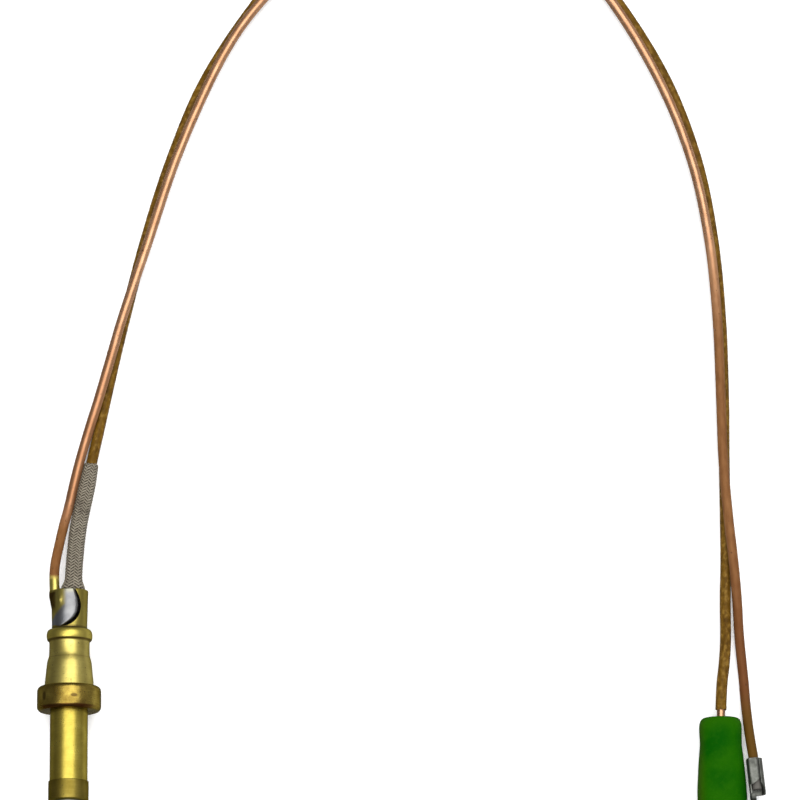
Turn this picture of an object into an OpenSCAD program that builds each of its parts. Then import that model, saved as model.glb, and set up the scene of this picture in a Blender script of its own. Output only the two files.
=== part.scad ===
// Gas-hob thermocouple: a turned brass head with a bare copper lead and a sleeved lead.
// It lies on the plane z = 0. The head's axis runs along Y, with the hot tip at -Y.
// The leads leave the head at +Y and loop round to their two push-on terminals.

/* [Brass head] */
// Outer diameter of the shank tube, which slides into its bracket
shank_d = 6; // [5.6:0.1:6.2]
// Length of shank that shows between the collar and the tip ferrule
shank_len = 11.2; // [8:0.1:14]
// Outer diameter of the locating collar
collar_d = 10.2; // [9:0.1:12]
// Length of the collar
collar_len = 3.9; // [2:0.1:5]
// Length of the cone above the collar
cone_len = 4.5; // [3:0.1:6]
// Diameter of the cone where it meets the collar
cone_d = 7.9; // [7.4:0.1:8.6]
// Diameter of the neck, where a spring clip snaps on
neck_d = 6.4; // [6.2:0.1:6.8]
// Length of the neck
neck_len = 2.95; // [2:0.05:5]
// Diameter of the bead at the foot of the cup
bead_d = 7.3; // [7:0.1:8]
// Length of the bead
bead_len = 1.7; // [1.4:0.1:2.5]
// Outer diameter of the open cup that the leads enter, at its rim
cup_d = 5.9; // [5.7:0.1:6.2]
// Depth of the cup
cup_len = 6.45; // [5:0.05:8]

/* [Hot tip] */
// Diameter of the ferrule that joins the tip to the shank
ferrule_d = 6.4; // [6.2:0.1:6.5]
// Length of the ferrule
ferrule_len = 3.2; // [2:0.1:5]
// Diameter of the hot tip's alloy sleeve
tip_d = 4.8; // [4:0.1:5]
// Length of the alloy sleeve beyond the ferrule
tip_len = 13.6; // [8:0.1:16]
// Diameter of the inner rod, the tip's second alloy
rod_d = 2; // [1.6:0.1:2.2]

/* [Leads] */
// Diameter of the bare copper lead
copper_d = 1.6; // [1.4:0.1:1.6]
// Outer diameter of the varnished sleeve on the other lead
sleeve_d = 1.8; // [1.6:0.1:1.8]
// Diameter of the conductor inside the varnished sleeve
core_d = 1.3; // [1:0.1:1.3]
// Outer diameter of the braided glass sleeve at the head
braid_d = 2.66; // [2.4:0.02:2.7]

/* [Boot] */
// Length of the insulating boot
boot_len = 22; // [20:0.5:24]
// Thickness of the boot, at right angles to its width
boot_t = 5.8; // [5.4:0.1:6]
// Bore of the boot's neck, which runs along the sleeved lead
boot_bore_d = 2.6; // [2.1:0.1:2.7]

/* [Terminals] */
// Width of the tab that the boot's receptacle accepts
receptacle_tab_w = 4.8; // [4.6:0.1:4.8]
// Width of the tab terminal's blade
tab_w = 6.3; // [6:0.1:6.3]
// Thickness of the tab terminal's blade
tab_t = 0.8; // [0.7:0.05:0.9]
// Length of the tab terminal's blade
tab_len = 8.2; // [7:0.1:9]

/* [Hidden] */
$fn = 64;
eps = 0.01;

// Heights and stations along the head's axis, from the cup's rim down to the tip
axis_z = collar_d / 2;
junction_len = 1;
head_len = cup_len + bead_len + neck_len + cone_len + collar_len + shank_len
         + ferrule_len + tip_len + junction_len;
cup_top = head_len / 2;
bead_top = cup_top - cup_len;
neck_top = bead_top - bead_len;
cone_top = neck_top - neck_len;
collar_top = cone_top - cone_len;
shank_top = collar_top - collar_len;
ferrule_top = shank_top - shank_len;
tip_top = ferrule_top - ferrule_len;
tip_end = tip_top - tip_len;

// Bores and walls inside the head
cup_bore_r = 2.3;
cup_taper = 0.15;
lead_bore_r = 1.7;
shank_bore_r = 2.4;
spigot_r = 2.75;
spigot_cone = 0.25;
shank_seat = cone_top - 0.6;
tip_bore_r = 1.65;
tip_root = ferrule_top + 3;
rod_top = collar_top - 1.5;
core_end = 9;
sleeve_end = cone_top + 1;
braid_end = cup_top - 3.3;
braid_top = 46.3;

// Boot: its axis, its ends and its outline as [distance from the neck end, half width]
boot_x = 103.7;
boot_z = boot_t / 2;
boot_top = 3;
boot_outline = [
    [0, 2.5], [0.35, 2.95], [0.9, 3.2], [1.8, 3.4], [3.1, 3.3], [4.3, 3.27],
    [7.5, 3.66], [12.6, 3.94], [boot_len, 4.03]
];
// Boot's cross-section: sides, how square its corners are, and its thickness over its width
boot_sides = 32;
boot_power = 2.6;
boot_flatness = 0.84;
// Boot's inside: a wide slot for the receptacle, then a narrower one for its crimp
boot_slot_w = 6.4;
boot_slot_t = 3.5;
boot_slot_len = 11;
boot_crimp_w = 3.8;
boot_crimp_len = 17.5;

// Receptacle: its own sizes, and where its mouth is
receptacle_t = 2.9;
receptacle_w = receptacle_tab_w + 1.2;
receptacle_mouth = boot_top - boot_len + 1.2;
receptacle_len = 7.4;
receptacle_sheet = 0.35;
receptacle_crimp_len = 5.4;
receptacle_crimp_r = 1.25;
receptacle_crimp_y = receptacle_mouth + receptacle_len + 1.2;

// Tab terminal: where the copper lead enters it, and how far it turns from the -Y direction
tab_x = 108.85;
tab_y = -3.7;
tab_z = 3.3;
tab_turn = 5;
crimp_w = 2.4;
crimp_h = 2.9;
crimp_len = 5.9;
crimp_sheet = 0.35;
crimp_lip = 1.2;
blade_root = 0.7;

// Routes of the two leads' centre lines, from the head to the terminals
copper_foot = [-2.4, 23.2, 5.1];
sleeve_foot = [103.88, 4.3, 2.9];
sleeved_route = [
    [0, core_end, 5.1], [0, 14.5, 5.1], [0.2, 19.5, 5.1], [0.5, 24.5, 5.05], [0.6, 28, 4.5],
    [0.8, 31.4, 3.5], [1.2, 35, 2.75], [1.8, 38.5, 2.1], [2.4, 42, 1.7], [3, 45.6, 1.4],
    [4.1, 51, 1], [6, 60, 0.9], [8.3, 70.2, 0.9], [11.7, 83.7, 0.9], [15.9, 97.4, 0.9],
    [21.5, 111.1, 0.9], [30.4, 125, 0.9], [36.1, 131.2, 0.9], [43.3, 136.2, 0.9],
    [51.5, 139.3, 0.9], [60.1, 140.4, 0.9], [68.7, 139.3, 0.9], [76.9, 136.2, 0.9],
    [84.1, 131.1, 0.9], [89.9, 124.4, 0.9], [97.8, 110.4, 0.9], [102.6, 96.4, 0.9],
    [104.9, 82.7, 0.9], [105.8, 69.1, 0.9], [105.9, 55.7, 0.9], [105.7, 45.6, 0.9],
    [105.6, 35.7, 0.9], [105.5, 29, 0.9], [105.2, 22.4, 1.1], [105, 15.8, 2],
    [104.65, 12, 2.6], [104.22, 9, 2.83], [103.98, 6.3, 2.9], sleeve_foot, [103.76, 0, 2.9],
    [103.7, -4, 2.9], [103.7, -8.6, 2.9]
];
copper_route = [
    copper_foot, [-2.46, 24.9, 5.03], [-2.54, 26.7, 4.88], [-2.43, 28.7, 4.6],
    [-2.05, 31, 4.2], [-1.2, 35.3, 3.4], [-0.5, 38.2, 2.9], [0.5, 43.1, 2.35],
    [1.4, 46.8, 2.25], [2.9, 52.1, 2.3], [4.2, 56.3, 2.5], [6.1, 63, 2.7], [8, 69.8, 2.7],
    [12.3, 83.2, 2.65], [16.7, 96.9, 2.5], [22.4, 110.6, 2.47], [26.7, 118.6, 2.53],
    [31.1, 124.5, 2.48], [36.8, 130.5, 2.4], [43.8, 135.3, 2.4], [51.7, 138.3, 2.4],
    [60.1, 139.4, 2.4], [68.5, 138.3, 2.4], [76.4, 135.3, 2.4], [83.3, 130.3, 2.4],
    [88.9, 123.9, 2.4], [96.6, 109.9, 2.3], [101.6, 96, 2.4], [104.1, 82.3, 2.55],
    [105.1, 68.7, 2.6], [105.3, 55.3, 2.65], [105.4, 45.3, 2.7], [106, 35.4, 2.65],
    [106.6, 28.7, 2.45], [107.05, 22.4, 1.7], [107.3, 16.4, 0.9], [107.8, 9.4, 0.85],
    [107.95, 6, 1.2], [108.15, 2.7, 1.9], [108.45, -0.6, 2.7], [108.8, -3.7, 3.25],
    [109.25, -8.6, 3.3]
];

// Sweeping: sides of a tube, and the longest step between its rings
tube_sides = 8;
ring_step = 7.5;

// Distance along a route's chords up to point i
function chord_at(p, i) = i == 0 ? 0 : chord_at(p, i - 1) + norm(p[i] - p[i - 1]);

// Direction of a route at point i, from its two neighbours
function slope_at(p, t, i) =
    let (a = max(i - 1, 0), b = min(i + 1, len(p) - 1))
    (p[b] - p[a]) / (t[b] - t[a]);

// Point at fraction u of the span that starts at point i
function on_span(p, t, i, u) =
    let (h = t[i + 1] - t[i], u2 = u * u, u3 = u2 * u)
    (2 * u3 - 3 * u2 + 1) * p[i] + (u3 - 2 * u2 + u) * h * slope_at(p, t, i)
    + (3 * u2 - 2 * u3) * p[i + 1] + (u3 - u2) * h * slope_at(p, t, i + 1);

// A route's points with the spans divided, so that none is much longer than ring_step
function smooth_route(p) =
    let (t = [for (i = [0:len(p) - 1]) chord_at(p, i)])
    [
        for (i = [0:len(p) - 2])
            let (n = max(1, round((t[i + 1] - t[i]) / ring_step)))
            for (k = [0:n - 1]) on_span(p, t, i, k / n),
        p[len(p) - 1]
    ];

function unit(v) = v / norm(v);

// Rings of points around a line of centres
function rings(c, r) = [
    for (i = [0:len(c) - 1])
        let (
            ahead = unit(c[min(i + 1, len(c) - 1)] - c[max(i - 1, 0)]),
            side = unit(cross(ahead, [0, 0, 1])),
            top = cross(side, ahead)
        )
        for (k = [0:tube_sides - 1])
            let (a = 360 * k / tube_sides)
            c[i] + r * (cos(a) * side + sin(a) * top)
];

// Triangles of a wall of n rings with m points each, from vertex s; inside out if inner
function wall(n, m, s, inner) = [
    for (i = [0:n - 2], k = [0:m - 1])
        let (
            a = s + i * m + k,
            b = s + i * m + (k + 1) % m,
            c = a + m,
            d = b + m
        )
        for (f = [[a, b, d], [a, d, c]]) inner ? [f[2], f[1], f[0]] : f
];

// The flat faces that close the first and the last of n rings with m points each
function end_caps(n, m) = [
    [for (k = [m - 1:-1:0]) k],
    [for (k = [0:m - 1]) (n - 1) * m + k]
];

// Triangles of the flat ring that joins an outer and an inner ring of vertices
function annulus(outer, inner, turned) = [
    for (k = [0:tube_sides - 1])
        let (j = (k + 1) % tube_sides)
        for (f = [[outer + k, inner + k, inner + j], [outer + k, inner + j, outer + j]])
            turned ? [f[2], f[1], f[0]] : f
];

module rod_along(c, r) {
    n = len(c);
    polyhedron(rings(c, r), concat(wall(n, tube_sides, 0, false), end_caps(n, tube_sides)));
}

module tube_along(c, r_out, r_in) {
    n = len(c);
    inner = n * tube_sides;
    last = (n - 1) * tube_sides;
    faces = concat(
        wall(n, tube_sides, 0, false), wall(n, tube_sides, inner, true),
        annulus(0, inner, false), annulus(last, inner + last, true)
    );
    polyhedron(concat(rings(c, r_out), rings(c, r_in)), faces);
}

// Turned work: an outline of [radius, station] points turned about the head's axis
module turned(outline) {
    translate([0, 0, axis_z])
        rotate([-90, 0, 0])
            rotate_extrude() polygon(outline);
}

// A plain ring or tube on the head's axis, between two stations
module ring_on_axis(low, high, r_out, r_in) {
    turned([[r_in, low], [r_out, low], [r_out, high], [r_in, high]]);
}

module upper_body() {
    // Window's outline, measured from the head's axis and down from the cup's rim
    window = [
        [-0.7, 0.5], [-0.75, -1.4], [-0.83, -2.5], [-1.05, -3.1], [-1.4, -3.65],
        [-1.95, -4.15], [-2.65, -4.6], [-3.3, -4.9], [-3.3, -5.95], [-0.6, -5.95],
        [0, -5.85], [0.6, -5.5], [1.1, -4.9], [1.45, -4.2], [1.66, -3.4], [1.72, -2.65],
        [1.66, -1.95], [1.5, -1.4], [1.2, -0.8], [0.8, -0.3], [0.52, 0], [0.45, 0.5]
    ];
    foot_gap = 0.15;
    color("darkkhaki")
        difference() {
            turned([
                [spigot_r, collar_top], [cone_d / 2, collar_top],
                [cone_d / 2 - 0.4, cone_top - 0.35], [neck_d / 2 + 0.12, cone_top],
                [neck_d / 2, cone_top + 0.3], [neck_d / 2, neck_top - 0.2],
                [neck_d / 2 + 0.15, neck_top], [bead_d / 2 - 0.35, neck_top],
                [bead_d / 2 - 0.1, neck_top + 0.2], [bead_d / 2, neck_top + 0.6],
                [bead_d / 2, bead_top - 0.5], [bead_d / 2 - 0.12, bead_top - 0.18],
                [bead_d / 2 - 0.4, bead_top], [cup_d / 2 - cup_taper, bead_top],
                [cup_d / 2, cup_top - 0.15], [cup_d / 2 - 0.15, cup_top],
                [cup_bore_r, cup_top], [cup_bore_r, bead_top + 0.3],
                [lead_bore_r, bead_top - 0.3], [lead_bore_r, shank_seat],
                [spigot_r, shank_seat]
            ]);
            // Window cut in the side of the cup that faces up, from the rim down to the left
            translate([0, cup_top, axis_z])
                linear_extrude(collar_d)
                    polygon(window);
            // Notch in the rim that the copper lead's foot is brazed into
            translate(copper_foot - [0, foot_gap, 0])
                rotate([-90, 0, 0])
                    cylinder(h = cup_len, r = copper_d / 2 + foot_gap);
        }
}

module shank_tube() {
    color("gold")
        turned([
            [shank_bore_r, ferrule_top], [shank_d / 2, ferrule_top], [shank_d / 2, shank_top],
            [spigot_r, shank_top + spigot_cone], [spigot_r, shank_seat],
            [shank_bore_r, shank_seat]
        ]);
}

module collar() {
    edge = 0.3;
    color("darkgoldenrod")
        turned([
            [shank_d / 2, shank_top], [collar_d / 2 - edge, shank_top],
            [collar_d / 2, shank_top + edge], [collar_d / 2, collar_top - edge],
            [collar_d / 2 - edge, collar_top], [spigot_r, collar_top],
            [spigot_r, shank_top + spigot_cone]
        ]);
}

module tip_ferrule() {
    edge = 0.25;
    color("goldenrod")
        turned([
            [tip_d / 2, tip_top], [ferrule_d / 2 - edge, tip_top],
            [ferrule_d / 2, tip_top + edge], [ferrule_d / 2, ferrule_top],
            [tip_d / 2, ferrule_top]
        ]);
}

module hot_tip() {
    shoulder = 0.6;
    color("slategray")
        turned([
            [tip_bore_r, tip_end], [tip_d / 2 - shoulder, tip_end],
            [tip_d / 2 - 0.25, tip_end + 0.25], [tip_d / 2, tip_end + shoulder],
            [tip_d / 2, tip_root], [tip_bore_r, tip_root]
        ]);
}

module hot_junction() {
    color("dimgray")
        turned([
            [0, tip_end - junction_len], [0.5, tip_end - 0.93], [1, tip_end - 0.7],
            [1.4, tip_end - 0.35], [1.6, tip_end], [tip_bore_r - eps, tip_end + 0.6],
            [0, tip_end + 0.6]
        ]);
}

module inner_rod() {
    color("silver")
        turned([[0, tip_end + 0.6], [rod_d / 2, tip_end + 0.6], [rod_d / 2, rod_top], [0, rod_top]]);
}

module tip_insulator() {
    color("ivory")
        ring_on_axis(tip_end + 0.8, tip_root, tip_bore_r - 0.05, rod_d / 2 + 0.05);
}

module splice_sleeve() {
    color("peru")
        ring_on_axis(rod_top - 2.5, core_end + 2.5, 1.35, rod_d / 2 + 0.05);
}

module splice_insulator() {
    color("whitesmoke")
        ring_on_axis(tip_root + 0.2, sleeve_end - 1.5, 1.65, 1.4);
}

module lead_bush() {
    color("linen")
        ring_on_axis(sleeve_end - 1.3, bead_top - 0.3, lead_bore_r - 0.05, sleeve_d / 2 + 0.2);
}

module solder_fill() {
    fill_r = cup_bore_r - 0.05;
    hollow_x = 0.75;
    hollow_r = 1.85;
    flare_x = hollow_x + 0.45;
    color("silver")
        difference() {
            ring_on_axis(bead_top + 0.35, cup_top - 0.5, fill_r, sleeve_d / 2 + 0.1);
            // Channel that the braided sleeve runs down, open towards the right wall
            translate([hollow_x, 0, axis_z])
                rotate([-90, 0, 0])
                    cylinder(h = cup_top + 1, r = hollow_r);
            translate([flare_x, 0, 0])
                cube([collar_d, cup_top + 1, collar_d]);
            // Seat of the copper lead's foot
            translate(copper_foot - [0, 0.85, 0])
                rotate([-90, 0, 0])
                    cylinder(h = cup_len, r = copper_d / 2 + 0.05);
        }
}

module braze_fillet() {
    foot_y = cup_top - 1;
    color("khaki")
        difference() {
            hull() {
                translate([-2.25, foot_y, axis_z + 0.9]) sphere(r = 1, $fn = 24);
                translate([-1.35, foot_y - 0.1, axis_z + 1.75]) sphere(r = 0.8, $fn = 24);
                translate([-1.85, foot_y - 1.9, axis_z + 1.7]) sphere(r = 0.65, $fn = 24);
            }
            // Wall and filling of the cup that it is fused to
            turned([
                [0, 0], [cup_d / 2, 0], [cup_d / 2, bead_top], [cup_bore_r, bead_top],
                [cup_bore_r - 0.05, cup_top - 0.5], [0, cup_top - 0.5]
            ]);
            translate(copper_foot - [0.05, cup_len / 2, 0])
                rotate([-90, 0, 0])
                    cylinder(h = cup_len, r = copper_d / 2 + 0.05);
        }
}

module copper_lead() {
    color("peru")
        rod_along(smooth_route(copper_route), copper_d / 2);
}

module lead_core() {
    color("sandybrown")
        rod_along(smooth_route(sleeved_route), core_d / 2);
}

// The sleeve's line of centres, cut off where the conductor is bare at both ends
function sleeve_line() =
    let (c = smooth_route(sleeved_route), near_boot = sleeve_foot[1])
    concat(
        [[0, sleeve_end, axis_z]],
        [for (q = c) if (q[1] > (q[0] < boot_x / 2 ? sleeve_end + 0.5 : near_boot + 1)) q],
        [sleeve_foot]
    );

module lead_sleeve() {
    color("saddlebrown")
        tube_along(sleeve_line(), sleeve_d / 2, core_d / 2 + 0.05);
}

module braided_sleeve() {
    line = concat(
        [[0.26, braid_end, axis_z]],
        [
            for (q = smooth_route(sleeved_route))
                if (q[0] < boot_x / 2 && q[1] > braid_end + 1 && q[1] < braid_top - 0.3) q
        ]
    );
    color("gray")
        tube_along(line, braid_d / 2, sleeve_d / 2 + 0.07);
}

// A value raised to a power, with its sign kept
function signed_power(v, p) = sign(v) * pow(abs(v), p);

// Rings of the boot's rounded cross-section, one at each point of its outline
function boot_rings() = [
    for (q = boot_outline)
        let (half_t = min(boot_t / 2, q[1] * boot_flatness))
        for (k = [0:boot_sides - 1])
            let (a = 360 * k / boot_sides)
            [
                boot_x - q[1] * signed_power(cos(a), 2 / boot_power),
                boot_top - q[0],
                boot_z + half_t * signed_power(sin(a), 2 / boot_power)
            ]
];

module boot() {
    n = len(boot_outline);
    mouth = boot_top - boot_len;
    color("forestgreen")
        difference() {
            polyhedron(boot_rings(), concat(wall(n, boot_sides, 0, false), end_caps(n, boot_sides)));
            translate([boot_x - boot_slot_w / 2, mouth - 1, boot_z - boot_slot_t / 2])
                cube([boot_slot_w, boot_slot_len + 1, boot_slot_t]);
            translate([boot_x - boot_crimp_w / 2, mouth - 1, boot_z - boot_slot_t / 2])
                cube([boot_crimp_w, boot_crimp_len + 1, boot_slot_t]);
            translate([boot_x, boot_top + 1, boot_z])
                rotate([90, 0, 0])
                    cylinder(h = boot_len, d = boot_bore_d);
        }
}

// Extrudes a cross-section drawn in X and Z along Y, from one station to a higher one
module along_y(low, high) {
    translate([0, high, 0])
        rotate([90, 0, 0])
            linear_extrude(high - low)
                children();
}

// One side of the receptacle: a half tube whose upper edge curls over towards the tab
module receptacle_side(side) {
    curl_r = receptacle_t / 2;
    translate([side * (receptacle_w / 2 - curl_r), 0])
        difference() {
            circle(r = curl_r);
            circle(r = curl_r - receptacle_sheet);
            translate([side > 0 ? -curl_r - 0.4 : 0.4, -curl_r])
                square([curl_r, 2 * curl_r]);
        }
}

module receptacle() {
    crimp_end = receptacle_crimp_y + receptacle_crimp_len;
    body_end = receptacle_mouth + receptacle_len;
    floor_z = -receptacle_t / 2;
    neck_w = 2.2;
    crimp_gap = 0.16;
    color("goldenrod")
        translate([boot_x, 0, boot_z]) {
            along_y(receptacle_mouth, body_end) {
                translate([-receptacle_w / 2 + receptacle_t / 2, floor_z])
                    square([receptacle_w - receptacle_t, receptacle_sheet]);
                for (side = [-1, 1])
                    receptacle_side(side);
            }
            along_y(body_end - 1, receptacle_crimp_y + 1)
                translate([-neck_w / 2, floor_z])
                    square([neck_w, receptacle_sheet]);
            along_y(receptacle_crimp_y, crimp_end)
                difference() {
                    circle(r = receptacle_crimp_r);
                    circle(r = core_d / 2 + 0.05);
                    translate([-crimp_gap / 2, 0])
                        square([crimp_gap, receptacle_t]);
                }
        }
}

// Half of the tab blade's outline, as [height off its centre line, distance beyond the crimp]
function blade_side(side) =
    let (half_w = tab_w / 2, root = 1.4, point = 1)
    [
        [side * root, -blade_root], [side * root, blade_root], [side * half_w, root],
        [side * half_w, tab_len], [side * (half_w - root), tab_len + point]
    ];

module tab_terminal() {
    left = -crimp_w / 2;
    seam = 0.3;
    bore_w = crimp_w - 2 * crimp_sheet;
    bore_h = crimp_h - 2 * crimp_sheet;
    lip_h = 1.6;
    upper = blade_side(1);
    lower = blade_side(-1);
    color("lightgray")
        translate([tab_x, tab_y, tab_z])
            rotate([0, 0, tab_turn]) {
                // Crimp barrel, open down its right side
                along_y(-crimp_len, 0)
                    difference() {
                        square([crimp_w, crimp_h], center = true);
                        square([bore_w, bore_h], center = true);
                        translate([0, -seam / 2])
                            square([crimp_w, seam]);
                    }
                // Lip of the base sheet beside the lead
                translate([left, -lip_h, -lip_h / 2])
                    cube([crimp_sheet, crimp_lip + lip_h, lip_h]);
                // Blade, standing on its edge, with a pointed tip
                translate([left + tab_t, -crimp_len, 0])
                    rotate([0, -90, 0])
                        linear_extrude(tab_t)
                            polygon([
                                for (q = upper) [q[0], -q[1]],
                                for (i = [len(lower) - 1:-1:0]) [lower[i][0], -lower[i][1]]
                            ]);
            }
}

upper_body();
shank_tube();
collar();
tip_ferrule();
hot_tip();
hot_junction();
inner_rod();
tip_insulator();
splice_sleeve();
splice_insulator();
lead_bush();
solder_fill();
braze_fillet();
copper_lead();
lead_core();
lead_sleeve();
braided_sleeve();
boot();
receptacle();
tab_terminal();
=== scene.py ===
"""The looks of a gas-hob thermocouple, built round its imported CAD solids.

The brass head lies along Y with its hot tip towards -Y, and two leads run from its cup in an
arch to a green boot and a folded tab. Shapes are in millimetres, and in metres once made."""

import bpy
import bmesh
import math
from math import cos, pi, radians, sin
import numpy as np
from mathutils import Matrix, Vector, noise


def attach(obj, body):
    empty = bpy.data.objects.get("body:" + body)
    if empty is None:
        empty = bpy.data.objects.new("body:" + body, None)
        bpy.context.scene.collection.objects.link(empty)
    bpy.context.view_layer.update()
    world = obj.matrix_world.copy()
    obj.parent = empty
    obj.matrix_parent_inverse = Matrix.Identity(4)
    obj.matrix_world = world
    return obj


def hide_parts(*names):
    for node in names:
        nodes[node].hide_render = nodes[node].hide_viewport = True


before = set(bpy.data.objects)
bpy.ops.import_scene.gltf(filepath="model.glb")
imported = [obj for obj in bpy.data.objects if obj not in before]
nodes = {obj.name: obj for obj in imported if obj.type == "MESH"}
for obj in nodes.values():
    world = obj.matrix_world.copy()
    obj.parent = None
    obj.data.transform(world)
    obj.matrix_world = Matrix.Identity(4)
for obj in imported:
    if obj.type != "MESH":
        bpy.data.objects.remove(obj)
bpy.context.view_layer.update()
scene = bpy.context.scene
MM = 0.001


# ---------- camera ----------

def look_from_above():
    """The photograph's view: nearly straight down, from 720 mm away."""
    elevation, azimuth, distance = radians(76.3), radians(0.6), 0.72
    ahead = Vector((
        sin(azimuth) * cos(elevation),
        cos(azimuth) * cos(elevation),
        -sin(elevation),
    ))
    data = bpy.data.cameras.new("camera")
    data.sensor_width = 36
    data.lens = 36 * distance / 0.1304
    camera = bpy.data.objects.new("camera", data)
    camera.location = Vector((0.0532, 0.05645, 0)) - ahead * distance
    camera.rotation_euler = ahead.to_track_quat("-Z", "Y").to_euler()
    scene.collection.objects.link(camera)
    scene.camera = camera


look_from_above()
scene.view_settings.view_transform = "Standard"


# ---------- mesh helpers: all in millimetres until the mesh is made ----------

def shade(obj, sharp):
    """Smooth shading, but for edges that turn by more than sharp degrees."""
    obj.data.shade_smooth()
    obj.data.set_sharp_from_angle(angle=radians(sharp))


def make(name, points, faces, body="head", sharp=None):
    """An object from points in millimetres, which rides on the body."""
    mesh = bpy.data.meshes.new(name)
    mesh.from_pydata([[c * MM for c in p] for p in points], [], faces)
    mesh.update()
    mesh.shade_smooth()
    if sharp:
        mesh.set_sharp_from_angle(angle=radians(sharp))
    obj = bpy.data.objects.new(name, mesh)
    scene.collection.objects.link(obj)
    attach(obj, body)
    return obj


def spline(route, step):
    """Points every step along a route's curve, the same curve that the CAD's solids follow."""
    p = np.array(route, float)
    t = np.concatenate([[0], np.cumsum(np.linalg.norm(np.diff(p, axis=0), axis=1))])

    def slope(i):
        a, b = max(i - 1, 0), min(i + 1, len(p) - 1)
        return (p[b] - p[a]) / (t[b] - t[a])

    out = []
    for i in range(len(p) - 1):
        h = t[i + 1] - t[i]
        n = max(1, round(h / step))
        for k in range(n):
            u = k / n
            out.append(
                (2 * u**3 - 3 * u**2 + 1) * p[i] + (u**3 - 2 * u**2 + u) * h * slope(i)
                + (3 * u**2 - 2 * u**3) * p[i + 1] + (u**3 - u**2) * h * slope(i + 1)
            )
    out.append(p[-1])
    return np.array(out)


def along(line):
    """How far along the line each of its points is."""
    return np.concatenate([[0], np.cumsum(np.linalg.norm(np.diff(line, axis=0), axis=1))])


def frames(line):
    """At each point of a line: the way ahead, the level side and the upper side."""
    ahead = np.gradient(line, axis=0)
    ahead /= np.linalg.norm(ahead, axis=1)[:, None]
    side = np.cross(ahead, [0, 0, 1.0])
    side /= np.linalg.norm(side, axis=1)[:, None]
    return ahead, side, np.cross(side, ahead)


def grid_faces(n, m, start=0, flip=False):
    """The faces between n rings of m points each, the first ring beginning at point start."""
    faces = []
    for i in range(n - 1):
        low, high = start + i * m, start + (i + 1) * m
        for k in range(m):
            j = (k + 1) % m
            f = [low + k, low + j, high + j, high + k]
            faces.append(f[::-1] if flip else f)
    return faces


def looped_faces(n, m):
    """grid_faces, with the last ring joined to the first as well."""
    last = (n - 1) * m
    return grid_faces(n, m) + [
        [last + k, last + (k + 1) % m, (k + 1) % m, k] for k in range(m)
    ]


def capped_faces(n, m, start=0, flip=False):
    """grid_faces, with a face across each end as well."""
    first = [start + k for k in range(m)]
    last = [start + (n - 1) * m + k for k in range(m)]
    ends = [first, last[::-1]] if flip else [first[::-1], last]
    return grid_faces(n, m, start, flip) + ends


def wrap_attribute(obj, values):
    """Stores a vector on each vertex, which the materials read: on a tube it is the cosine and
    sine of the angle round the line, and how far along the line the point is, in mm."""
    a = obj.data.attributes.new("wrap", "FLOAT_VECTOR", "POINT")
    a.data.foreach_set("vector", np.array(values, np.float32).ravel())


def rings(line, radius, sides, ragged=False):
    """Points on rings round a line, and each one's wrap. radius is a number or a function of
    (distance along, angle). A ragged tube's end rings are cut unevenly."""
    s = along(line)
    ahead, side, top = frames(line)
    points, wraps = [], []
    for i in range(len(line)):
        for k in range(sides):
            a = 2 * pi * k / sides
            r = radius(s[i], a) if callable(radius) else radius
            slip = 0.0
            if ragged and i in (0, len(line) - 1):
                slip = 0.16 * noise.noise((2.3 * cos(a), 2.3 * sin(a), 4.0 + i))
            points.append(line[i] + ahead[i] * slip
                          + r * (cos(a) * side[i] + sin(a) * top[i]))
            wraps.append((cos(a), sin(a), s[i]))
    return points, wraps


def rod(name, line, radius, sides):
    """A round rod along a line, closed at both ends."""
    points, wraps = rings(line, radius, sides)
    obj = make(name, points, capped_faces(len(line), sides, flip=True), "head", 50)
    wrap_attribute(obj, wraps)
    return obj


def rounded(profile):
    """A closed outline of (radius, station, corner radius) with its corners rounded off."""
    out = []
    n = len(profile)
    for i in range(n):
        r, y, c = profile[i]
        p = np.array([r, y], float)
        if c <= 0:
            out.append(p)
            continue
        a = np.array(profile[i - 1][:2], float) - p
        b = np.array(profile[(i + 1) % n][:2], float) - p
        la, lb = np.linalg.norm(a), np.linalg.norm(b)
        c = min(c, la * 0.48, lb * 0.48)
        a, b = a / la, b / lb
        for k in range(7):
            u = k / 6
            out.append(p + a * c * (1 - u) ** 2 + b * c * u**2)
    return out


AXIS_Z = 5.1


def lathe(name, profile, segments=160, wobble=0.0):
    """Turned work on the head's axis, from an outline of (radius, station, corner radius)."""
    outline = rounded(profile)
    points = []
    for q in outline:
        for k in range(segments):
            a = 2 * pi * k / segments
            r = q[0]
            if wobble:
                r += wobble * noise.noise((3 * cos(a), q[1] * 0.7, 3 * sin(a)))
            points.append((r * cos(a), q[1], AXIS_Z + r * sin(a)))
    obj = make(name, points, looped_faces(len(outline), segments), "head", 35)
    tidy(obj)
    return obj


def tidy(obj, merge=True):
    """Turns every face outwards. merge first joins doubled points and drops faces with no area."""
    mesh = bmesh.new()
    mesh.from_mesh(obj.data)
    if merge:
        bmesh.ops.remove_doubles(mesh, verts=mesh.verts, dist=1e-6)
        bmesh.ops.dissolve_degenerate(mesh, edges=mesh.edges, dist=1e-7)
    bmesh.ops.recalc_face_normals(mesh, faces=mesh.faces)
    mesh.to_mesh(obj.data)
    mesh.free()


def apply_modifiers(obj):
    """Replaces the object's mesh with what its modifiers make of it."""
    bpy.context.view_layer.update()
    depsgraph = bpy.context.evaluated_depsgraph_get()
    mesh = bpy.data.meshes.new_from_object(obj.evaluated_get(depsgraph))
    obj.modifiers.clear()
    obj.data = mesh


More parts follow.
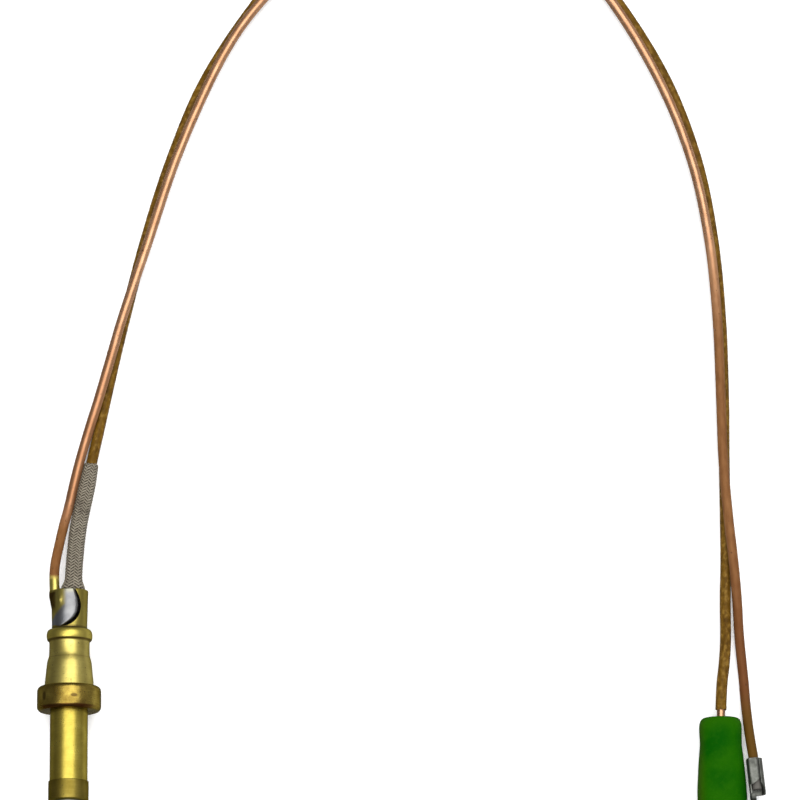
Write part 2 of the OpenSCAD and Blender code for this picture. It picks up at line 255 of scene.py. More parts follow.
def soften_edges(obj, width, bevel_from, sharp):
    """Rounds edges that turn by more than bevel_from degrees, width mm wide, then shades."""
    bevel = obj.modifiers.new("edge", "BEVEL")
    bevel.width = width * MM
    bevel.segments = 3
    bevel.limit_method = "ANGLE"
    bevel.angle_limit = radians(bevel_from)
    apply_modifiers(obj)
    shade(obj, sharp)


# ---------- the two leads ----------

sleeved_route = [
    [0, 9, 5.1], [0, 14.5, 5.1], [0.2, 19.5, 5.1], [0.5, 24.5, 5.05], [0.6, 28, 4.5],
    [0.8, 31.4, 3.5], [1.2, 35, 2.75], [1.8, 38.5, 2.1], [2.4, 42, 1.7], [3, 45.6, 1.4],
    [4.1, 51, 1], [6, 60, 0.9], [8.3, 70.2, 0.9], [11.7, 83.7, 0.9], [15.9, 97.4, 0.9],
    [21.5, 111.1, 0.9], [30.4, 125, 0.9], [36.1, 131.2, 0.9], [43.3, 136.2, 0.9],
    [51.5, 139.3, 0.9], [60.1, 140.4, 0.9], [68.7, 139.3, 0.9], [76.9, 136.2, 0.9],
    [84.1, 131.1, 0.9], [89.9, 124.4, 0.9], [97.8, 110.4, 0.9], [102.6, 96.4, 0.9],
    [104.9, 82.7, 0.9], [105.8, 69.1, 0.9], [105.9, 55.7, 0.9], [105.7, 45.6, 0.9],
    [105.6, 35.7, 0.9], [105.5, 29, 0.9], [105.2, 22.4, 1.1], [105, 15.8, 2],
    [104.65, 12, 2.6], [104.22, 9, 2.83], [103.98, 6.3, 2.9], [103.88, 4.3, 2.9],
    [103.76, 0, 2.9], [103.7, -4, 2.9], [103.7, -8.6, 2.9],
]
copper_route = [
    [-2.4, 23.2, 5.1], [-2.46, 24.9, 5.03], [-2.54, 26.7, 4.88], [-2.43, 28.7, 4.6],
    [-2.05, 31, 4.2], [-1.2, 35.3, 3.4], [-0.5, 38.2, 2.9], [0.5, 43.1, 2.35],
    [1.4, 46.8, 2.25], [2.9, 52.1, 2.3], [4.2, 56.3, 2.5], [6.1, 63, 2.7], [8, 69.8, 2.7],
    [12.3, 83.2, 2.65], [16.7, 96.9, 2.5], [22.4, 110.6, 2.47], [26.7, 118.6, 2.53],
    [31.1, 124.5, 2.48], [36.8, 130.5, 2.4], [43.8, 135.3, 2.4], [51.7, 138.3, 2.4],
    [60.1, 139.4, 2.4], [68.5, 138.3, 2.4], [76.4, 135.3, 2.4], [83.3, 130.3, 2.4],
    [88.9, 123.9, 2.4], [96.6, 109.9, 2.3], [101.6, 96, 2.4], [104.1, 82.3, 2.55],
    [105.1, 68.7, 2.6], [105.3, 55.3, 2.65], [105.4, 45.3, 2.7], [106, 35.4, 2.65],
    [106.6, 28.7, 2.45], [107.05, 22.4, 1.7], [107.3, 16.4, 0.9], [107.8, 9.4, 0.85],
    [107.95, 6, 1.2], [108.15, 2.7, 1.9], [108.45, -0.6, 2.7], [108.8, -3.7, 3.25],
    [109.25, -8.6, 3.3],
]
BOOT_X, BOOT_Z, BOOT_TOP = 103.7, 2.9, 3.0
CUP_TOP = 24.25

sleeved_line = spline(sleeved_route, 0.5)
copper_line = spline(copper_route, 0.5)
near_head = sleeved_line[:, 0] < BOOT_X / 2
# the sleeve starts inside the head and stops just above the boot
IN_HEAD, ABOVE_BOOT = 14.3, 4.29
keep = np.where(near_head, sleeved_line[:, 1] > IN_HEAD, sleeved_line[:, 1] > ABOVE_BOOT)
sleeve_line = sleeved_line[keep]


def copper_radius(s, a):
    """Nearly round, with the faint flats and swellings of a wire that has been bent by hand."""
    r = 0.79 + 0.012 * noise.noise((s * 0.21, 2 * cos(a), 2 * sin(a)))
    r += 0.006 * noise.noise((s * 1.3, 4 * cos(a), 7.0 + 4 * sin(a)))
    brazed = 4.2
    if s < brazed:
        r += 0.045 * (1 - s / brazed)
    return r


copper_wire = rod("copper_wire", copper_line, copper_radius, 28)
core_wire = rod("core_wire", sleeved_line, 0.66, 18)


def sleeve_radius(s, a):
    """Not quite round, and a little lumpy along its length."""
    r = 0.885 + 0.012 * noise.noise((s * 0.33, 3 * cos(a), 3 * sin(a)))
    r += 0.008 * noise.noise((s * 2.1, 9.0, 0.5))
    return r


def hollow_tube(name, line, outer, inner, sides):
    """A tube with a wall, open at both ends, with a slightly ragged cut."""
    n = len(line)
    outside, inside = (rings(line, radius, sides, ragged=True) for radius in (outer, inner))
    points, wraps = outside[0] + inside[0], outside[1] + inside[1]
    faces = grid_faces(n, sides, flip=True) + grid_faces(n, sides, start=n * sides)
    last = (n - 1) * sides
    for k in range(sides):
        j = (k + 1) % sides
        faces.append([k, j, n * sides + j, n * sides + k])
        faces.append([last + k, n * sides + last + k, n * sides + last + j, last + j])
    obj = make(name, points, faces, "head", 50)
    wrap_attribute(obj, wraps)
    return obj


varnished_sleeve = hollow_tube("varnished_sleeve", sleeve_line, sleeve_radius, 0.7, 24)


# ---------- the braided glass sleeve: 24 yarns, each over two and under two ----------

def braid():
    """The yarns wind both ways round the sleeved lead, from inside the cup to the free end."""
    low, high = 21.0, 46.3
    near = sleeved_line[near_head]
    line = near[(near[:, 1] > low) & (near[:, 1] < high)].copy()
    bow, bow_y, bow_reach = 0.14, 37.5, 5.0
    line[:, 0] -= bow * np.exp(-(((line[:, 1] - bow_y) / bow_reach) ** 2))
    s = along(line)
    ahead, side, top = frames(line)
    total = s[-1]
    per_way, lead, waves, step = 12, 6.0, 6, 0.11
    half_w, half_t, lift = 0.2, 0.1, 0.075
    section = [(cos(radians(t)) * half_w, sin(radians(t)) * half_t)
               for t in (0, 35, 90, 145, 180, 215, 270, 325)]
    corners = len(section)
    points, wraps, faces = [], [], []

    def middle_radius(d):
        """Flares where the braid is pushed onto the cup's rim, and closes down at its free end."""
        rim_at, slack_r, flare = 3.5, 1.23, 0.55
        past_rim = d - rim_at
        r = slack_r + flare * math.exp(-((past_rim / (1.1 if past_rim > 0 else 2.2)) ** 2))
        r -= 0.2 * max(0.0, 1 - (total - d) / 4.5) ** 1.5
        return r + 0.03 * noise.noise((d * 0.35, 3.3, 0.2))

    steps = int(total / step)
    for way in (1, -1):
        for yarn in range(per_way):
            start = len(points)
            ragged = 0.35 * (noise.noise((yarn * 1.7, way * 2.0, 5.1)) - 0.1)
            count = 0
            for i in range(steps + 1):
                d = total * i / steps
                if d > total - 0.25 + ragged:
                    break
                k = min(int(np.searchsorted(s, d, side="right")) - 1, len(line) - 2)
                u = (d - s[k]) / (s[k + 1] - s[k])
                c = line[k] * (1 - u) + line[k + 1] * u
                sd = side[k] * (1 - u) + side[k + 1] * u
                tp = top[k] * (1 - u) + top[k + 1] * u
                ah = ahead[k] * (1 - u) + ahead[k + 1] * u
                twist = 2 * pi * d / lead
                a = 2 * pi * yarn / per_way + way * twist
                a += 0.05 * noise.noise((d * 0.8, yarn * 3.1, way * 4.0))
                over = cos(waves * a - pi / 4)
                over = math.copysign(min(1, abs(over) * 1.5), over)
                r = middle_radius(d) + way * lift * over
                out = cos(a) * sd + sin(a) * tp
                around = -sin(a) * sd + cos(a) * tp
                run = ah * lead + way * around * 2 * pi * r
                run /= np.linalg.norm(run)
                across = np.cross(run, out)
                across /= np.linalg.norm(across)
                fat = 1 + 0.12 * noise.noise((d * 1.9, yarn * 2.3, way * 6.0))
                for q in section:
                    points.append(c + out * (r + q[1] * fat) + across * q[0] * fat)
                    wraps.append((q[0] / half_w, yarn + way * 20.0, d))
                count += 1
            faces += capped_faces(count, corners, start, flip=True)
    obj = make("glass_braid", points, faces, "head")
    wrap_attribute(obj, wraps)
    tidy(obj, merge=False)
    return obj


glass_braid = braid()


# ---------- the green boot ----------

def boot():
    """A soft moulded sleeve: rounded neck, waist and flared flat mouth, hollow inside."""
    outline = [
        [0, 1.6], [0, 2.3], [0.06, 2.72], [0.25, 3.03], [0.6, 3.24], [1.1, 3.36], [1.8, 3.4],
        [3.1, 3.34], [4.3, 3.33], [5.8, 3.48], [7.5, 3.65], [10, 3.82], [12.6, 3.94], [17, 4.0],
        [21.4, 4.03], [21.8, 3.99], [22, 3.86],
    ]
    q = np.array(outline)
    t = np.linspace(0, len(q) - 1, 85)
    d_out = np.interp(t, range(len(q)), q[:, 0])
    w_out = np.interp(t, range(len(q)), q[:, 1])
    for _ in range(2):
        w_out[1:-1] = 0.5 * w_out[1:-1] + 0.25 * (w_out[:-2] + w_out[2:])
        d_out[1:-1] = 0.5 * d_out[1:-1] + 0.25 * (d_out[:-2] + d_out[2:])
    sides, power, bore = 96, 2.6, 1.28
    length, deepest = q[-1, 0], 2.88
    points = []

    def ring(d, half_w, half_t, p=2.0, ripple=0.0):
        """One ring, d below the boot's top. p is 2 for an oval and more for squarer corners."""
        for k in range(sides):
            a = 2 * pi * k / sides
            x = math.copysign(abs(cos(a)) ** (2 / p), cos(a)) * half_w
            z = math.copysign(abs(sin(a)) ** (2 / p), sin(a)) * half_t
            push = ripple * noise.noise((x * 0.5, d * 0.35, z * 0.5))
            grow = 1 + push / max(half_w, 1)
            points.append((BOOT_X + x * grow, BOOT_TOP - d, BOOT_Z + z * grow))

    # the neck's bore, from inside outwards
    ring(2.0, bore, bore)
    ring(0.15, bore, bore)
    ring(0.05, 1.31, 1.31)
    ring(0.0, 1.38, 1.38)
    for d, w in zip(d_out, w_out):
        half_t = min(deepest, w * 0.84)
        p = 2.0 + (power - 2.0) * min(1, d / 1.2)
        ring(d, w, half_t, p, -0.05 * min(1, d / 2) * min(1, (length - d) / 2))
    # over the mouth's rim and back up inside
    ring(length, 3.45, 2.1, 3.2)
    ring(21.9, 3.28, 1.85, 3.6)
    ring(21.5, 3.22, 1.78, 4.0)
    ring(11.2, 3.2, 1.76, 5.0)
    ring(10.8, 1.9, 1.74, 4.0)
    ring(4.8, 1.88, 1.7, 4.0)
    ring(4.4, bore, bore)
    faces = looped_faces(len(points) // sides, sides)
    obj = make("boot_shell", points, faces, "boot")
    tidy(obj, merge=False)
    obj.data.set_sharp_from_angle(angle=radians(55))
    return obj


boot_shell = boot()
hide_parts("boot")


# ---------- the folded tab terminal ----------

TAB_X, TAB_Y, TAB_Z, TAB_TURN = 108.85, -3.7, 3.3, radians(5)


def at_tab(p):
    """A point of the tab terminal, turned and moved to where the terminal lies."""
    c, s = cos(TAB_TURN), sin(TAB_TURN)
    return (TAB_X + p[0] * c - p[1] * s, TAB_Y + p[0] * s + p[1] * c, TAB_Z + p[2])


def smooth_path(points, count):
    """Evenly spaced points on a corner-rounded line through the given ones."""
    q = np.array(points, float)
    for _ in range(3):
        new = [q[0]]
        for a, b in zip(q[:-1], q[1:]):
            new += [a * 0.75 + b * 0.25, a * 0.25 + b * 0.75]
        new.append(q[-1])
        q = np.array(new)
    s = along(q)
    even = np.linspace(0, s[-1], count)
    return np.stack([np.interp(even, s, q[:, j]) for j in range(q.shape[1])], 1)


def sheet_piece(path, stations, thickness, reach):
    """Points and faces of a bent sheet: a path in X and Z, swept over stations in Y.
    reach gives how much of the path is left at each station, which shapes the wing's end."""
    points = []
    m = len(path)
    s = along(path)
    for y in stations:
        cut = s[-1] * reach(y)
        xs = np.interp(np.linspace(0, cut, m), s, path[:, 0])
        zs = np.interp(np.linspace(0, cut, m), s, path[:, 1])
        tangent = np.gradient(np.stack([xs, zs], 1), axis=0)
        tangent /= np.maximum(np.linalg.norm(tangent, axis=1), 1e-9)[:, None]
        for k in range(m):
            points.append((xs[k], y, zs[k]))
        for k in range(m):
            tx, tz = tangent[k]
            points.append((xs[k] + tz * thickness, y, zs[k] - tx * thickness))
    faces = []
    w = 2 * m
    for i in range(len(stations) - 1):
        b, c = i * w, (i + 1) * w
        for k in range(m - 1):
            faces.append([b + k, b + k + 1, c + k + 1, c + k])
            faces.append([b + m + k + 1, b + m + k, c + m + k, c + m + k + 1])
        faces.append([b, c, c + m, b + m])
        faces.append([b + m - 1, b + 2 * m - 1, c + 2 * m - 1, c + m - 1])
    for b, flip in ((0, False), ((len(stations) - 1) * w, True)):
        for k in range(m - 1):
            f = [b + k, b + m + k, b + m + k + 1, b + k + 1]
            faces.append(f[::-1] if flip else f)
    return points, faces


def plate(outline, low, high):
    """A flat plate standing in the Y-Z plane, from a closed outline of (z, y), between two X."""
    n = len(outline)
    points = [(x, q[1], q[0]) for x in (low, high) for q in outline]
    faces = [list(range(n)), list(range(2 * n - 1, n - 1, -1))]
    faces += [[k, n + k, n + (k + 1) % n, (k + 1) % n] for k in range(n)]
    return points, faces


def tab_terminal():
    """Two wings rolled over the bare lead, the base between them and the blade below."""
    gauge, face, inset, blade_t = 0.34, -1.2, 0.03, 0.78
    front = smooth_path([(-1.2, -0.9), (-1.2, 1.0), (-1.05, 1.42), (-0.5, 1.46), (-0.2, 1.36),
                         (0.1, 1.46), (0.45, 1.36), (0.62, 1.1)], 34)
    back = smooth_path([(-1.2, -0.9), (-1.05, -1.3), (-0.5, -1.45), (0.6, -1.45), (1.15, -1.25),
                        (1.3, -0.6), (1.3, 0.3), (1.15, 0.85), (0.9, 1.15), (0.66, 1.22)], 34)

    def cut_back(start, drop, span, power, least):
        """A wing's reach: all of it down to start, then less and less."""
        return lambda y: (
            1.0 if y > start else max(least, 1 - drop * ((start - y) / span) ** power)
        )

    wing_a = sheet_piece(front, np.linspace(0, -4.15, 18), gauge,
                         cut_back(-2.9, 0.36, 1.25, 1.6, 0.42))
    wing_b = sheet_piece(back, np.linspace(-0.05, -5.8, 22), -gauge,
                         cut_back(-3.9, 0.3, 1.9, 1.3, 0.55))
    base = plate([(-0.95, -6.4), (1.0, -6.4), (1.0, -0.15), (-0.95, -0.15)],
                 face + inset, face + gauge - inset)
    half_w, tip, root = 3.15, -14.1, -6.3
    edge = [
        (1.3, -5.6), (1.35, root), (1.7, root - 0.55), (half_w, root - 1.1),
        (half_w, tip + 0.05), (half_w - 0.25, tip - 0.45), (half_w - 1.4, tip - 1),
    ]
    outline = [(-z, y) for z, y in edge[:1]] + edge + [(-z, y) for z, y in edge[:0:-1]]
    blade = plate(outline, face, face + blade_t)
    pieces = []
    for name, part, width in (("tab_front_wing", wing_a, 0.05), ("tab_back_wing", wing_b, 0.05),
                              ("tab_base", base, 0.07), ("tab_blade", blade, 0.12)):
        obj = make(name, [at_tab(p) for p in part[0]], part[1], "head")
        tidy(obj)
        soften_edges(obj, width, 40, 50)
        pieces.append(obj)
    return pieces


tab_pieces = tab_terminal()
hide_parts("tab_terminal")

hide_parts("copper_lead")
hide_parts("lead_core")
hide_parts("lead_sleeve")
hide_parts("braided_sleeve")


# ---------- the turned brass head ----------

# Stations along the head's axis and radii, as in the CAD
TIP_END, FERRULE_LOW, SHANK_LOW, COLLAR_LOW, COLLAR_TOP = -23.25, -9.65, -6.45, 4.75, 8.65
SPIGOT_TOP = 12.55
TIP_BORE, SHANK_BORE, SPIGOT_R, SHANK_R = 1.65, 2.4, 2.75, 3.0
COLLAR_R = AXIS_Z  # the collar lies on the table


def prism(name, outline, low, high):
    """A straight prism between two heights, from a closed outline of (x, y)."""
    n = len(outline)
    points = [(q[0], q[1], z) for z in (low, high) for q in outline]
    faces = [list(range(n))[::-1], list(range(n, 2 * n))]
    faces += [[k, (k + 1) % n, n + (k + 1) % n, n + k] for k in range(n)]
    return make(name, points, faces)


def cut_away(obj, tool):
    """Cuts the tool out of the object, and drops the tool."""
    m = obj.modifiers.new("cut", "BOOLEAN")
    m.operation = "DIFFERENCE"
    m.solver = "EXACT"
    m.object = tool
    apply_modifiers(obj)
    bpy.data.objects.remove(tool)


def head_body():
    """Cone, clip neck, bead and open cup, with the window cut in the side that faces up."""
    body = lathe("head_body", [
        (SPIGOT_R, COLLAR_TOP, 0), (3.95, COLLAR_TOP, 0.12), (3.54, 12.7, 0.5), (3.24, 13.7, 0.6),
        (3.2, 14.5, 0.4), (3.22, 15.85, 0.12), (3.34, 16.12, 0.1), (3.54, 16.2, 0.1),
        (3.65, 16.6, 0.25), (3.66, 17.3, 0.3), (3.42, 17.84, 0.3), (2.86, 17.98, 0.1),
        (2.8, 18.5, 0.2), (2.95, CUP_TOP, 0.2), (2.3, CUP_TOP, 0.12), (2.3, 18.1, 0.1),
        (1.7, 17.5, 0), (1.7, SPIGOT_TOP, 0), (SPIGOT_R, SPIGOT_TOP, 0),
    ], segments=192)
    window = smooth_path([
        (-0.7, 25.2), (-0.75, 22.85), (-0.83, 21.75), (-1.4, 20.6), (-2.5, 19.7), (-2.6, 18.8),
        (-1.8, 18.15), (-0.7, 18.12), (0.25, 18.35), (1.05, 18.95), (1.65, 19.85), (1.92, 20.9),
        (1.97, 21.9), (1.6, 23.2), (1.1, 24.1), (1.0, 25.2),
    ], 90)
    tool = prism("window_tool", [tuple(p) for p in window], AXIS_Z + 0.2, AXIS_Z + 6)
    tidy(tool)
    cut_away(body, tool)
    tidy(body)
    soften_edges(body, 0.07, 48, 40)
    return body


head = head_body()
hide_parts("upper_body")

shank = lathe("shank", [
    (SHANK_BORE, SHANK_LOW, 0), (SHANK_R, SHANK_LOW, 0.05), (SHANK_R, COLLAR_LOW, 0),
    (SPIGOT_R, COLLAR_LOW, 0), (SPIGOT_R, SPIGOT_TOP, 0), (SHANK_BORE, SPIGOT_TOP, 0),
])
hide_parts("shank_tube")
collar_ring = lathe("collar_ring", [
    (SPIGOT_R, COLLAR_LOW, 0), (COLLAR_R - 0.35, COLLAR_LOW, 0.35),
    (COLLAR_R, COLLAR_LOW + 0.45, 0.4), (COLLAR_R, COLLAR_TOP - 0.45, 0.35),
    (COLLAR_R - 0.35, COLLAR_TOP, 0.35), (SPIGOT_R, COLLAR_TOP, 0),
])
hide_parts("collar")
ferrule = lathe("ferrule", [
    (SHANK_BORE, FERRULE_LOW, 0), (3.0, FERRULE_LOW, 0.2), (3.2, FERRULE_LOW + 0.2, 0.2),
    (3.2, SHANK_LOW, 0.12), (SHANK_BORE, SHANK_LOW, 0),
])
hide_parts("tip_ferrule")
tip_tube = lathe("tip_tube", [
    (TIP_BORE, TIP_END, 0), (1.85, TIP_END, 0.1), (2.15, TIP_END + 0.2, 0.2),
    (SHANK_BORE, TIP_END + 0.65, 0.4), (SHANK_BORE, -3.45, 0), (TIP_BORE, -3.45, 0),
], wobble=0.015)
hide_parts("hot_tip")
tip_weld = lathe("tip_weld", [
    (0.0, -24.25, 0), (0.5, -24.2, 0.2), (1.05, -23.97, 0.3), (1.5, -23.6, 0.3),
    (1.72, -23.2, 0.1), (1.6, -22.65, 0), (0.0, -22.65, 0),
], segments=96, wobble=0.05)
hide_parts("hot_junction")


def cup_radius(y):
    """The cup's outer radius, which grows a little towards the rim."""
    foot_y, foot_r, grows = 18.6, 2.8, 0.15
    return foot_r + grows * (y - foot_y) / (CUP_TOP - foot_y)


def solder_flap():
    """The solder that closes the window: flush with the cup, then rolled in at its right."""
    rows, arc, roll = 64, 56, 14
    foot_y, rim_y = 17.95, 24.1
    edge_y = [foot_y, 18.5, 19.0, 19.6, 20.4, 21.5, 22.6, CUP_TOP]
    edge_x = [-1.0, -0.35, 0.3, 0.88, 1.28, 1.45, 1.36, 0.92]
    roll_r, back_r, proud = 0.55, 1.95, 0.015
    left, rough_from, rolled, lap = (radians(a) for a in (192, 150, 112, 6))
    bump_x, bump_y, bump = -1.45, 22.45, 0.12
    points = []
    for y in list(np.linspace(foot_y, rim_y, rows - 3)) + [24.17, 24.22, CUP_TOP]:
        shrink = 0.14 * max(0.0, (y - rim_y) / 0.15) ** 2
        outer = cup_radius(y) + proud - shrink
        x_edge = float(np.interp(y, edge_y, edge_x))
        reach = outer - roll_r
        turn = math.acos(max(-0.97, min(0.97, (x_edge + 0.05 - roll_r) / reach)))
        cx, cz = reach * cos(turn), reach * sin(turn)
        # the outer face, the rolled edge, and the inner face back to the start
        for k in range(arc):
            a = left + (turn - left) * k / (arc - 1)
            r = outer
            if a < rough_from:
                lump = 0.02 * noise.noise((a * 2.1, y * 0.8, 2.0))
                r += lump * min(1, (rough_from - a) * 4)
            x = r * cos(a)
            if sin(a) > 0:
                r += bump * math.exp(-(((x - bump_x) / 0.3) ** 2) - ((y - bump_y) / 0.5) ** 2)
            points.append((r * cos(a), y, AXIS_Z + r * sin(a)))
        for k in range(1, roll + 1):
            a = turn - rolled * k / roll
            points.append((cx + roll_r * cos(a), y, AXIS_Z + cz + roll_r * sin(a)))
        back = arc + roll
        for k in range(back):
            a = turn - lap + (left - turn + lap) * k / (back - 1)
            points.append((back_r * cos(a), y, AXIS_Z + back_r * sin(a)))
    sides = 2 * (arc + roll)
    faces = grid_faces(rows, sides)
    for i in (0, rows - 1):
        b = i * sides
        faces += [
            [b + k, b + k + 1, b + sides - 2 - k, b + sides - 1 - k] for k in range(sides // 2 - 1)
        ]
    obj = make("solder_flap", points, faces, "head")
    tidy(obj)
    shade(obj, 70)
    return obj


solder = solder_flap()
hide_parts("solder_fill")


def braze_socket():
    """The braze that holds the bare lead's foot: a blind socket that stands out of the cup."""
    rows, sides, low = 34, 44, 20.0
    points = []
    for i in range(rows):
        u = i / (rows - 1)
        y = low + (CUP_TOP - low) * u
        fade = math.sqrt(min(1.0, u / 0.8))
        r = (0.12 + 0.78 * fade) * (1 - 0.1 * max(0.0, (y - 24.05) / 0.2) ** 2)
        cx = -2.12 - 0.27 * fade
        for k in range(sides):
            a = 2 * pi * k / sides
            q = r * (1 + 0.05 * noise.noise((1.5 * cos(a), y * 0.9, 1.5 * sin(a))))
            points.append((cx + q * cos(a), y, AXIS_Z + 0.12 + q * sin(a)))
    obj = make("braze_socket", points, capped_faces(rows, sides), "head", 50)
    tidy(obj)
    return obj


braze = braze_socket()
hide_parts("braze_fillet")


# ---------- materials ----------

def grey_ramp(tree, value, stops):
    """A ramp over a value, from stops of (position, grey)."""
    node = tree.nodes.new("ShaderNodeValToRGB")
    elements = node.color_ramp.elements
    while len(elements) < len(stops):
        elements.new(0.5)
    for element, (position, grey) in zip(elements, stops):
        element.position = position
        element.color = (grey, grey, grey, 1)
    tree.links.new(value, node.inputs["Fac"])
    return node.outputs["Color"]


class Nodes:
    """A small wrapper that builds a material's node tree.

    Places come from object coordinates, in metres, or from the wrap attribute, in mm along."""

    def __init__(self, name):
        self.material = bpy.data.materials.new(name)
        self.material.use_nodes = True
        self.tree = self.material.node_tree
        self.shader = self.tree.nodes["Principled BSDF"]
        self.place = self.new("ShaderNodeTexCoord").outputs["Object"]

    def new(self, kind, **settings):
        node = self.tree.nodes.new(kind)
        for key, value in settings.items():
            setattr(node, key, value)
        return node

    def link(self, a, b):
        self.tree.links.new(a, b)

    def wrap(self):
        return self.new("ShaderNodeAttribute", attribute_name="wrap").outputs["Vector"]

    def stretch(self, vector, scale):
        m = self.new("ShaderNodeMapping")
        m.inputs["Scale"].default_value = scale
        self.link(vector, m.inputs["Vector"])
        return m.outputs["Vector"]

    def noise(self, vector, scale, detail=4.0, roughness=0.55):
        n = self.new("ShaderNodeTexNoise")
        n.inputs["Scale"].default_value = scale
        n.inputs["Detail"].default_value = detail
        n.inputs["Roughness"].default_value = roughness
        self.link(vector, n.inputs["Vector"])
        return n.outputs["Fac"]

    def ramp(self, value, stops):
        return grey_ramp(self.tree, value, stops)

    def feed(self, socket, value):
        """Links another socket into this one, or sets this one to a constant."""
        if hasattr(value, "is_linked"):
            self.link(value, socket)
        else:
            socket.default_value = value

    def mix(self, factor, a, b):
        """Colour a where the factor is 0, b where it is 1. A plain number is a grey."""
        m = self.new("ShaderNodeMix", data_type="RGBA")
        self.feed(m.inputs[0], factor)
        for socket, value in ((m.inputs[6], a), (m.inputs[7], b)):
            if isinstance(value, float):
                value = (value,) * 3
            self.feed(socket, (*value, 1) if isinstance(value, tuple) else value)
        return m.outputs[2]

    def math(self, operation, a, b=0.0):
        m = self.new("ShaderNodeMath", operation=operation)
        self.feed(m.inputs[0], a)
        self.feed(m.inputs[1], b)
        return m.outputs[0]

    def split(self, vector):
        n = self.new("ShaderNodeSeparateXYZ")
        self.link(vector, n.inputs[0])
        return n.outputs

    def painted(self):
        """What the base colour is linked to so far."""
        return self.shader.inputs["Base Color"].links[0].from_socket

    def bump(self, height, distance):
        b = self.new("ShaderNodeBump")
        b.inputs["Distance"].default_value = distance
        self.link(height, b.inputs["Height"])
        self.link(b.outputs["Normal"], self.shader.inputs["Normal"])

    def set(self, **values):
        """Feeds the shader's sockets, named with _ for each space."""
        for key, value in values.items():
            self.feed(self.shader.inputs[key.replace("_", " ")], value)

    def times(self, a, b):
        return self.math("MULTIPLY", a, b)

    def rise(self, value, low, high):
        """0 below low, 1 above high, in a straight line between."""
        return self.ramp(value, [(low, 0.0), (high, 1.0)])

    def fall(self, value, low, high):
        """1 below low, 0 above high, in a straight line between."""
        return self.ramp(value, [(low, 1.0), (high, 0.0)])

    def stain(self, colour, mask, tint, strength):
        """The colour with a tint laid over it where the mask is 1, as strongly as stated."""
        return self.mix(self.times(mask, strength), colour, tint)

    def between(self, value, low, high):
        """0 below low, 1 above high, smooth between."""
        m = self.new("ShaderNodeMapRange", interpolation_type="SMOOTHSTEP")
        m.inputs["From Min"].default_value = low
        m.inputs["From Max"].default_value = high
        self.link(value, m.inputs["Value"])
        return m.outputs["Result"]

    def below(self, value, low, high):
        """1 below low, 0 above high, smooth between."""
        return self.math("SUBTRACT", 1.0, self.between(value, low, high))

    def band(self, value, rise, fall):
        """1 from the end of the rise to the start of the fall, 0 outside them. Both are pairs."""
        return self.times(self.between(value, *rise), self.below(value, *fall))


def brass(name, light, dark, rough, tarnish, lines=0.35):
    """Turned brass: blotchy tarnish, fine turning lines round the axis and small pits."""
    n = Nodes(name)
    n.set(Metallic=1.0, Specular_Tint=(0.5, 0.5, 0.42, 1))
    blotch = n.noise(n.place, 420, 5, 0.6)
    fine = n.noise(n.stretch(n.place, (300, 9000, 300)), 1.0, 3, 0.6)
    body = n.mix(n.rise(blotch, 0.3, 0.7), dark, light)
    body = n.stain(body, n.rise(fine, 0.42, 0.6), dark, 0.3)
    pits = n.fall(n.noise(n.place, 2600, 2, 0.5), 0.27, 0.33)
    body = n.mix(n.times(pits, tarnish), body, (0.09, 0.06, 0.02))
    n.set(Base_Color=body, Roughness=n.ramp(blotch, [(0.2, rough + 0.1), (0.8, rough)]))
    n.bump(n.math("ADD", n.times(fine, lines), n.noise(n.place, 5200, 3)), 0.000012)
    return n


